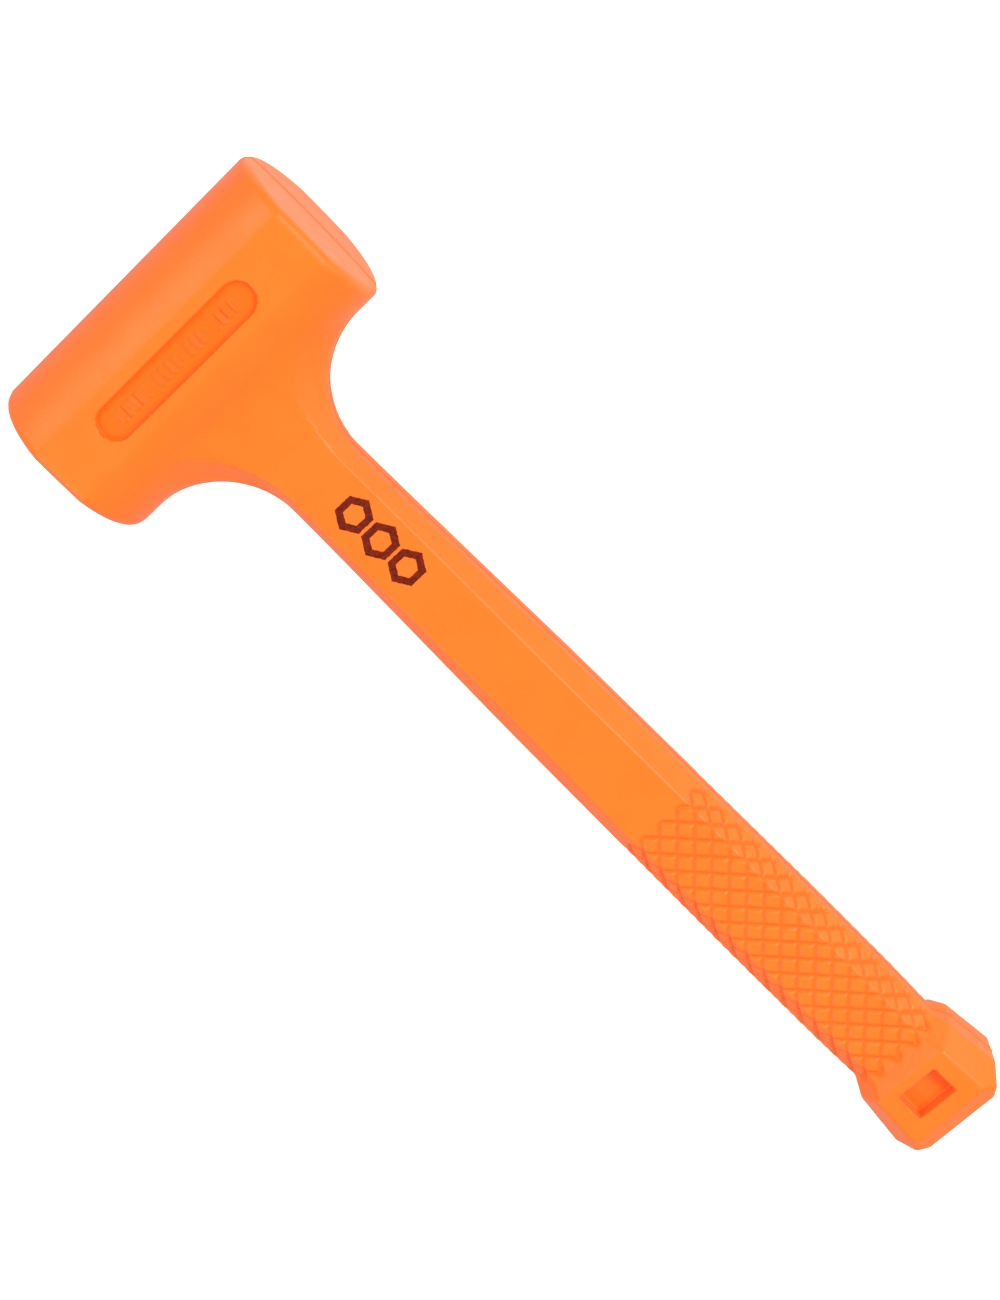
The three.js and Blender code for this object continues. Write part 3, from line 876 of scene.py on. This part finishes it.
class Finish:
    """A node material being built. Its place is in millimetres from the head's centre, or from the piece's
    own origin."""

    def __init__(self, name, own_origin=False):
        self.material = bpy.data.materials.new(name)
        self.material.use_nodes = True
        self.shader = self.material.node_tree.nodes["Principled BSDF"]
        where = self.add("ShaderNodeTexCoord").outputs["Object"]
        if not own_origin:
            where = self.vector("SUBTRACT", where, HEAD_CENTRE)
        self.place = self.vector("SCALE", where, scale=1 / MM)

    def add(self, kind, **settings):
        node = self.material.node_tree.nodes.new(kind)
        for name, value in settings.items():
            setattr(node, name, value)
        return node

    def feed(self, socket, value):
        if isinstance(value, bpy.types.NodeSocket):
            self.material.node_tree.links.new(value, socket)
        elif value is not None:
            socket.default_value = value

    def vector(self, operation, a, b=None, scale=None):
        node = self.add("ShaderNodeVectorMath", operation=operation)
        self.feed(node.inputs[0], a)
        self.feed(node.inputs[1], b)
        if scale is not None:
            self.feed(node.inputs["Scale"], scale)
        return node.outputs[0]

    def math(self, operation, a, b=None, c=None):
        node = self.add("ShaderNodeMath", operation=operation)
        for socket, value in zip(node.inputs, (a, b, c)):
            self.feed(socket, value)
        return node.outputs[0]

    def noise(self, size, detail=2.0, roughness=0.5, stretch=(1, 1, 1)):
        """Noise whose grains are about size millimetres, longer along an axis where stretch is small."""
        node = self.add("ShaderNodeTexNoise")
        self.feed(node.inputs["Vector"], self.vector("MULTIPLY", self.place, stretch))
        self.feed(node.inputs["Scale"], 1 / size)
        self.feed(node.inputs["Detail"], detail)
        self.feed(node.inputs["Roughness"], roughness)
        return node.outputs["Fac"]

    def ramp(self, value, low, high, start=0.0, end=1.0):
        node = self.add("ShaderNodeMapRange", interpolation_type="SMOOTHSTEP")
        names = ("Value", "From Min", "From Max", "To Min", "To Max")
        for name, v in zip(names, (value, low, high, start, end)):
            self.feed(node.inputs[name], v)
        return node.outputs["Result"]

    def blend(self, factor, a, b):
        node = self.add("ShaderNodeMix", data_type="RGBA")
        for name, v in (("Factor_Float", factor), ("A_Color", a), ("B_Color", b)):
            self.feed(next(s for s in node.inputs if s.identifier == name), v)
        return next(s for s in node.outputs if s.identifier == "Result_Color")

    def bump(self, height, distance, onto=None):
        """A bump of a height in millimetres."""
        node = self.add("ShaderNodeBump")
        self.feed(node.inputs["Height"], height)
        self.feed(node.inputs["Distance"], distance * MM)
        self.feed(node.inputs["Normal"], onto)
        return node.outputs["Normal"]

    def done(self, **inputs):
        for name, value in inputs.items():
            self.feed(self.shader.inputs[name.replace("_", " ")], value)
        return self.material


def mark_mask(finish):
    """Where the dark printed mark is: a row of plain outlined hexagons on the handle's upper face."""
    parts = finish.add("ShaderNodeSeparateXYZ")
    finish.feed(parts.inputs[0], finish.place)
    x, y, z = parts.outputs
    along = finish.math("SUBTRACT", x, MARK_X)
    u = finish.math("ABSOLUTE", finish.math("WRAP", along, MARK_PITCH / 2, -MARK_PITCH / 2))
    v = finish.math("ABSOLUTE", finish.math("MULTIPLY", finish.math("SUBTRACT", y, MARK_Y), MARK_SQUEEZE))
    slope = finish.math("MULTIPLY_ADD", v, math.sqrt(0.75), finish.math("MULTIPLY", u, 0.5))
    off = finish.math("SUBTRACT", finish.math("MAXIMUM", u, slope), MARK_HALF_WIDTH - MARK_STROKE / 2)
    ragged = finish.math("MULTIPLY_ADD", finish.noise(0.9, 3), 0.5, finish.math("ABSOLUTE", off))
    line = finish.ramp(ragged, MARK_STROKE / 2 + 0.38, MARK_STROKE / 2 + 0.12)
    inside = finish.math("LESS_THAN", finish.math("ABSOLUTE", along), 1.5 * MARK_PITCH)
    above = finish.math("GREATER_THAN", z, 5.0)
    return finish.math("MULTIPLY", line, finish.math("MULTIPLY", inside, above))


def urethane():
    """Cast urethane: opaque orange with a fine blasted grain, painted shade and less gloss and sheen in the
    knurl's grooves, the recess and along the parting line, and the dark printed mark."""
    finish = Finish("urethane")
    cloud = finish.noise(14, 3)
    colour = finish.blend(finish.ramp(cloud, 0.35, 0.65), URETHANE_DEEP, URETHANE_LIGHT)
    speck = finish.ramp(finish.noise(0.55, 2), 0.58, 0.78, 0.0, 0.3)
    colour = finish.blend(speck, colour, URETHANE_SPECK)
    # Painted shade in the knurl's grooves, the recess and along the parting line, laid over the colour.
    painted_shade = finish.add("ShaderNodeAttribute", attribute_name="painted_shade").outputs["Fac"]
    colour = finish.blend(painted_shade, colour, URETHANE_PAINTED_SHADE)
    mark = mark_mask(finish)
    ink = finish.blend(finish.ramp(finish.noise(0.7, 4, 0.6), 0.38, 0.62), INK_DARK, INK_WORN)
    colour = finish.blend(finish.math("MULTIPLY", mark, 0.96), colour, ink)
    grain = finish.noise(0.7, 3, 0.65)
    rough = finish.ramp(finish.noise(5, 3), 0.3, 0.7, 0.38, 0.45)
    rough = finish.math("MULTIPLY_ADD", mark, 0.12, rough)
    plain = finish.math("SUBTRACT", 1.0, finish.math("MAXIMUM", mark, painted_shade))
    gloss = finish.math("MULTIPLY_ADD", plain, GLOSS_GAIN, GLOSS_LEAST)
    sheen = finish.math("MULTIPLY_ADD", plain, SHEEN_GAIN, SHEEN_LEAST)
    normal = finish.bump(grain, 0.10, finish.bump(finish.noise(6, 2), 0.03))
    normal = finish.bump(mark, 0.03, normal)
    finish.done(Sheen_Weight=sheen, Sheen_Roughness=SHEEN_ROUGHNESS)
    return finish.done(Base_Color=colour, Roughness=rough, Normal=normal, Specular_IOR_Level=gloss)


def drawn_steel():
    """Drawn tube and pressed caps: fine lines along the draw, and patches of oil."""
    finish = Finish("drawn_steel")
    draw_lines = finish.noise(0.35, 3, 0.6, (1, 0.04, 1))
    patch = finish.ramp(finish.noise(9, 4), 0.4, 0.65)
    colour = finish.blend(patch, DRAWN_DULL, DRAWN_BRIGHT)
    oil = finish.ramp(finish.noise(3, 5, 0.7), 0.62, 0.75, 0, 0.5)
    colour = finish.blend(oil, colour, OIL)
    rough = finish.math("MULTIPLY_ADD", draw_lines, 0.25, finish.ramp(patch, 0, 1, 0.36, 0.22))
    return finish.done(Base_Color=colour, Metallic=1.0, Roughness=rough, Normal=finish.bump(draw_lines, 0.03))


def rolled_steel():
    """Hot-rolled bar: blue-grey mill scale, worn through to steel in flecks."""
    finish = Finish("rolled_steel")
    scale = finish.noise(2.2, 5, 0.65, (0.35, 1, 1))
    colour = finish.blend(finish.ramp(scale, 0.35, 0.6), SCALE_DARK, SCALE_LIGHT)
    worn = finish.ramp(finish.noise(1.2, 4, 0.7, (0.2, 1, 1)), 0.6, 0.68)
    colour = finish.blend(worn, colour, SCALE_WORN)
    rough = finish.ramp(scale, 0.3, 0.7, 0.38, 0.6)
    return finish.done(Base_Color=colour, Metallic=0.9, Roughness=rough, Normal=finish.bump(scale, 0.06))


def weld_metal():
    """Weld bead: bright ripples, straw and blue heat tint, and specks of soot."""
    finish = Finish("weld_metal")
    tint = finish.ramp(finish.noise(3, 3), 0.35, 0.65)
    colour = finish.blend(tint, TINT_STRAW, TINT_BLUE)
    colour = finish.blend(finish.ramp(finish.noise(1.3, 3), 0.4, 0.6), colour, BEAD_BRIGHT)
    colour = finish.blend(finish.ramp(finish.noise(0.7, 3), 0.64, 0.72), colour, SOOT)
    rough = finish.ramp(finish.noise(0.9, 3), 0.3, 0.7, 0.25, 0.5)
    normal = finish.bump(finish.noise(0.4, 3), 0.04)
    return finish.done(Base_Color=colour, Metallic=0.95, Roughness=rough, Normal=normal)


def shot_steel():
    """Cast shot: grey steel with dark pits and fine peening."""
    finish = Finish("shot_steel", own_origin=True)
    patch = finish.ramp(finish.noise(2.4, 4), 0.4, 0.62)
    colour = finish.blend(patch, SHOT_DULL, SHOT_BRIGHT)
    pits = finish.ramp(finish.noise(0.7, 3, 0.6), 0.64, 0.7)
    colour = finish.blend(pits, colour, SHOT_PIT)
    rough = finish.math("MULTIPLY_ADD", pits, 0.35, finish.ramp(patch, 0, 1, 0.34, 0.22))
    normal = finish.bump(pits, -0.05, finish.bump(finish.noise(1.1, 2), 0.05))
    return finish.done(Base_Color=colour, Metallic=1.0, Roughness=rough, Normal=normal)


# ---------------------------------------------------------------- the studio

def floor():
    """A pale floor below the mallet, over-exposed to white in the picture and dimmer in reflections. It is
    clear from below, so that the underside can be looked at."""
    mesh = bpy.data.meshes.new("floor")
    square = ((-1, -1), (1, -1), (1, 1), (-1, 1))
    corners = [(x * FLOOR_HALF, y * FLOOR_HALF, FLOOR_HEIGHT) for x, y in square]
    mesh.from_pydata(corners, [], [(0, 1, 2, 3)])
    obj = bpy.data.objects.new("floor", mesh)
    bpy.context.scene.collection.objects.link(obj)
    finish = Finish("pale_floor")
    matte = finish.ramp(finish.noise(60), 0.3, 0.7, 0.97 * FLOOR_SHADE, FLOOR_SHADE)
    seen = finish.add("ShaderNodeLightPath").outputs["Is Camera Ray"]
    finish.done(Base_Color=matte, Roughness=0.9, Specular_IOR_Level=0.0)
    finish.done(Emission_Color=(1, 1, 1, 1), Emission_Strength=seen)
    from_below = finish.add("ShaderNodeNewGeometry").outputs["Backfacing"]
    finish.done(Alpha=finish.math("SUBTRACT", 1.0, from_below))
    mesh.materials.append(finish.material)


def area_light(name, location, towards, size, power):
    data = bpy.data.lights.new(name, "AREA")
    data.shape = "RECTANGLE"
    data.size, data.size_y = size
    data.energy = power
    light = bpy.data.objects.new(name, data)
    light.location = location
    light.rotation_euler = (-Vector(towards)).to_track_quat("Z", "Y").to_euler()
    light.visible_camera = False
    bpy.context.scene.collection.objects.link(light)


def studio():
    """Lights, floor and surroundings, which are white to the camera and dimmer as a light."""
    world = bpy.data.worlds.new("studio")
    world.use_nodes = True
    nodes, links = world.node_tree.nodes, world.node_tree.links
    background = nodes["Background"]
    seen = nodes.new("ShaderNodeLightPath")
    strength = nodes.new("ShaderNodeMapRange")
    background.inputs["Color"].default_value = (1, 1, 1, 1)
    strength.inputs["To Min"].default_value = WORLD_LIGHT
    links.new(seen.outputs["Is Camera Ray"], strength.inputs["Value"])
    links.new(strength.outputs["Result"], background.inputs["Strength"])
    bpy.context.scene.world = world
    bpy.context.scene.view_settings.view_transform = "Standard"
    for name, (direction, distance, size, power) in SOFTBOXES.items():
        where = Vector(direction).normalized() * distance
        area_light(name, where, -where, size, power)
    area_light("card", (*CARD_PLACE, FLOOR_HEIGHT + MM), (0, 0, 1), CARD_SIZE, CARD_POWER)
    floor()


def camera():
    """The view: back is towards the camera, and roll turns the picture about it."""
    right, up, back = (Vector(axis).normalized() for axis in (VIEW_RIGHT, VIEW_UP, VIEW_BACK))
    cos, sin = math.cos(VIEW_ROLL), math.sin(VIEW_ROLL)
    data = bpy.data.cameras.new("camera")
    data.lens, data.sensor_fit, data.sensor_height = VIEW_LENS, "VERTICAL", 36
    data.clip_end = 20
    obj = bpy.data.objects.new("camera", data)
    axes = Matrix((cos * right + sin * up, cos * up - sin * right, back)).transposed()
    obj.matrix_world = Matrix.Translation(HEAD_CENTRE + Vector(VIEW_FROM)) @ axes.to_4x4()
    bpy.context.scene.collection.objects.link(obj)
    bpy.context.scene.camera = obj


def mallet():
    casting(urethane())
    tube, bar = drawn_steel(), rolled_steel()
    canister_tube(tube)
    canister_cap("canister_cap_steel_plus_y", "canister_cap_plus_y", 1, tube)
    canister_cap("canister_cap_steel_minus_y", "canister_cap_minus_y", -1, tube)
    handle_rod(bar)
    rod_weld(weld_metal())
    shot_charge(shot_steel())


mallet()
studio()
camera()
